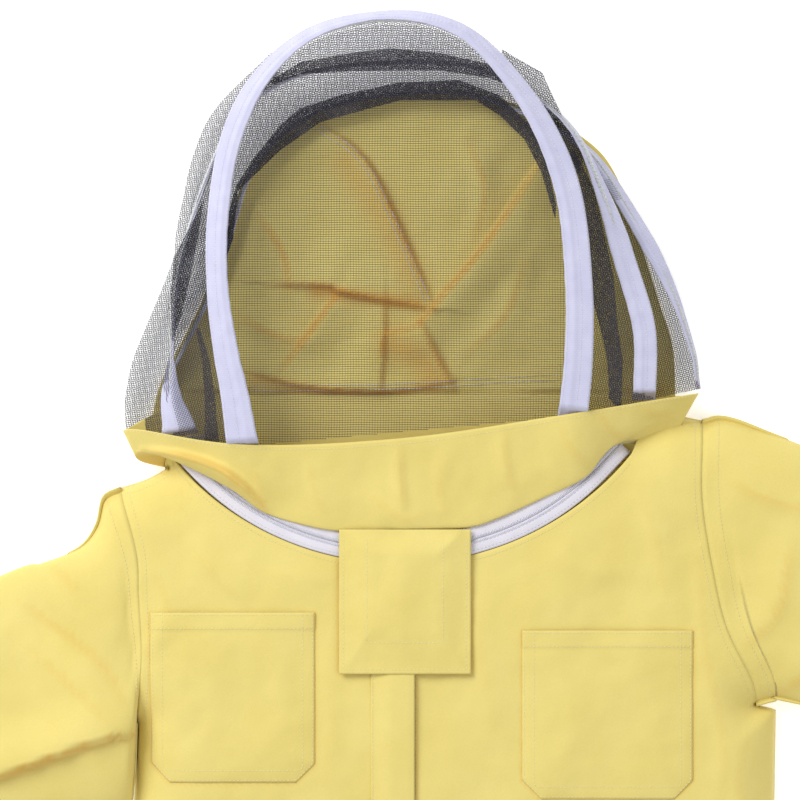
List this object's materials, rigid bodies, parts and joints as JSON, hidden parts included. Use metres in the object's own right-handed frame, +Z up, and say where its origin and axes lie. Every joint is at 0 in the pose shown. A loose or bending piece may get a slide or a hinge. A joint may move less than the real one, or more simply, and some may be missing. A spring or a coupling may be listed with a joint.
{
  "type": "beekeeping jacket",
  "caption": "Beekeeping jacket with zip-on fencing-veil hood on hoops, sleeves with cuffs, patch pockets, placket and neck flap, lying flat on its back.",
  "frame": {"origin": "middle of the footprint, on the surface that the jacket lies on", "axes": "+X to the wearer's left (along the spread sleeves), +Y from the hem to the hood, +Z up out of the chest"},
  "size_m": [1.5866, 0.98, 0.0528],
  "materials": {
    "yellow_cloth": "matt poly-cotton twill",
    "white_tape": "woven polyester tape",
    "veil_mesh": "open black veil netting",
    "elastic": "ribbed elastic",
    "hook_tape": "hook-and-loop tape",
    "zip_nylon": "moulded nylon coil",
    "boning": "clear flexible boning",
    "zip_metal": "nickel-plated die casting"
  },
  "bodies": {
    "jacket": {"back_panel": "yellow_cloth", "front_panel_left": "yellow_cloth", "front_panel_right": "yellow_cloth", "pocket_left": "yellow_cloth", "pocket_right": "yellow_cloth", "hem_band": "yellow_cloth", "hem_elastic": "elastic", "front_zip_tape_left": "white_tape", "front_zip_tape_right": "white_tape", "front_zip_coil_left": "zip_nylon", "front_zip_coil_right": "zip_nylon", "front_zip_top_stop_left": "zip_nylon", "front_zip_top_stop_right": "zip_nylon", "front_zip_box": "zip_nylon", "front_zip_pin": "zip_nylon", "neck_zip_tape_jacket": "white_tape", "neck_zip_tape_hood": "white_tape", "neck_zip_coil_jacket": "zip_nylon", "neck_zip_coil_hood": "zip_nylon", "flap_loop_tape_left": "hook_tape", "flap_loop_tape_right": "hook_tape", "hood_band": "yellow_cloth"},
    "front_slider": {"front_zip_slider": "zip_metal"},
    "front_pull": {"front_zip_pull": "zip_metal"},
    "neck_slider_left": {"neck_zip_slider_left": "zip_metal"},
    "neck_pull_left": {"neck_zip_pull_left": "zip_metal"},
    "neck_slider_right": {"neck_zip_slider_right": "zip_metal"},
    "neck_pull_right": {"neck_zip_pull_right": "zip_metal"},
    "placket": {"placket": "yellow_cloth"},
    "flap": {"neck_flap": "yellow_cloth", "flap_hook_tape": "hook_tape"},
    "hood": {"hood_back_panel": "yellow_cloth", "hoop_rear": "boning", "hoop_tape_rear": "white_tape", "gusset_rear": "veil_mesh"},
    "middle_hoop": {"hoop_middle": "boning", "hoop_tape_middle": "white_tape", "gusset_front": "veil_mesh"},
    "veil": {"hoop_front": "boning", "hoop_tape_front": "white_tape", "face_mesh": "veil_mesh"},
    "sleeve_left": {"sleeve_left": "yellow_cloth", "cuff_left": "yellow_cloth", "cuff_elastic_left": "elastic", "thumb_loop_left": "elastic"},
    "sleeve_right": {"sleeve_right": "yellow_cloth", "cuff_right": "yellow_cloth", "cuff_elastic_right": "elastic", "thumb_loop_right": "elastic"}
  },
  "joints": [
    {"name": "front_zip_slide", "type": "slide", "parent": "jacket", "child": "front_slider", "axis": [0, -1, 0], "range_m": [0, 0.49]},
    {"name": "front_pull_lift", "type": "hinge", "parent": "front_slider", "child": "front_pull", "pos_m": [-0.03525, 0.038, 0.03675], "axis": [-1, 0, 0], "range_deg": [0, 8]},
    {"name": "neck_zip_left_slide", "type": "hinge", "parent": "jacket", "child": "neck_slider_left", "pos_m": [-0.03925, 0.29, 0.03], "axis": [0, 0, 1], "range_deg": [0, 42]},
    {"name": "neck_pull_left_lift", "type": "hinge", "parent": "neck_slider_left", "child": "neck_pull_left", "pos_m": [-0.02915, 0.06748, 0.03675], "axis": [-0.999, -0.0454, 0], "range_deg": [0, 8]},
    {"name": "neck_zip_right_slide", "type": "hinge", "parent": "jacket", "child": "neck_slider_right", "pos_m": [-0.03925, 0.29, 0.03], "axis": [0, 0, -1], "range_deg": [0, 42]},
    {"name": "neck_pull_right_lift", "type": "hinge", "parent": "neck_slider_right", "child": "neck_pull_right", "pos_m": [-0.04935, 0.06748, 0.03675], "axis": [-0.999, 0.0454, 0], "range_deg": [0, 8]},
    {"name": "placket_lift", "type": "hinge", "parent": "jacket", "child": "placket", "pos_m": [-0.06125, -0.25, 0.0312], "axis": [0, -1, 0], "range_deg": [0, 110]},
    {"name": "flap_lift", "type": "hinge", "parent": "jacket", "child": "flap", "pos_m": [-0.03525, 0.0815, 0.0426], "axis": [-1, 0, 0], "range_deg": [0, 95]},
    {"name": "hood_raise", "type": "hinge", "parent": "jacket", "child": "hood", "pos_m": [-0.03525, 0.158, 0.048], "axis": [0.9968, 0.0797, 0], "range_deg": [0, 55]},
    {"name": "middle_hoop_fan", "type": "hinge", "parent": "hood", "child": "middle_hoop", "pos_m": [-0.03525, 0.158, 0.048], "axis": [0.9968, 0.0797, 0], "range_deg": [0, 18], "deforming": ["gusset_rear"]},
    {"name": "front_hoop_fan", "type": "hinge", "parent": "middle_hoop", "child": "veil", "pos_m": [-0.03525, 0.158, 0.048], "axis": [0.9968, 0.0797, 0], "range_deg": [0, 18], "deforming": ["gusset_front"]},
    {"name": "sleeve_left_swing", "type": "hinge", "parent": "jacket", "child": "sleeve_left", "pos_m": [0.24125, -0.07, 0.015], "axis": [0, 0, -1], "range_deg": [0, 25]},
    {"name": "sleeve_right_swing", "type": "hinge", "parent": "jacket", "child": "sleeve_right", "pos_m": [-0.24775, -0.072, 0.015], "axis": [0, 0, 1], "range_deg": [0, 25]}
  ],
  "couplings": [
    {"joint": "front_hoop_fan", "follows": "middle_hoop_fan", "ratio": 1}
  ]
}
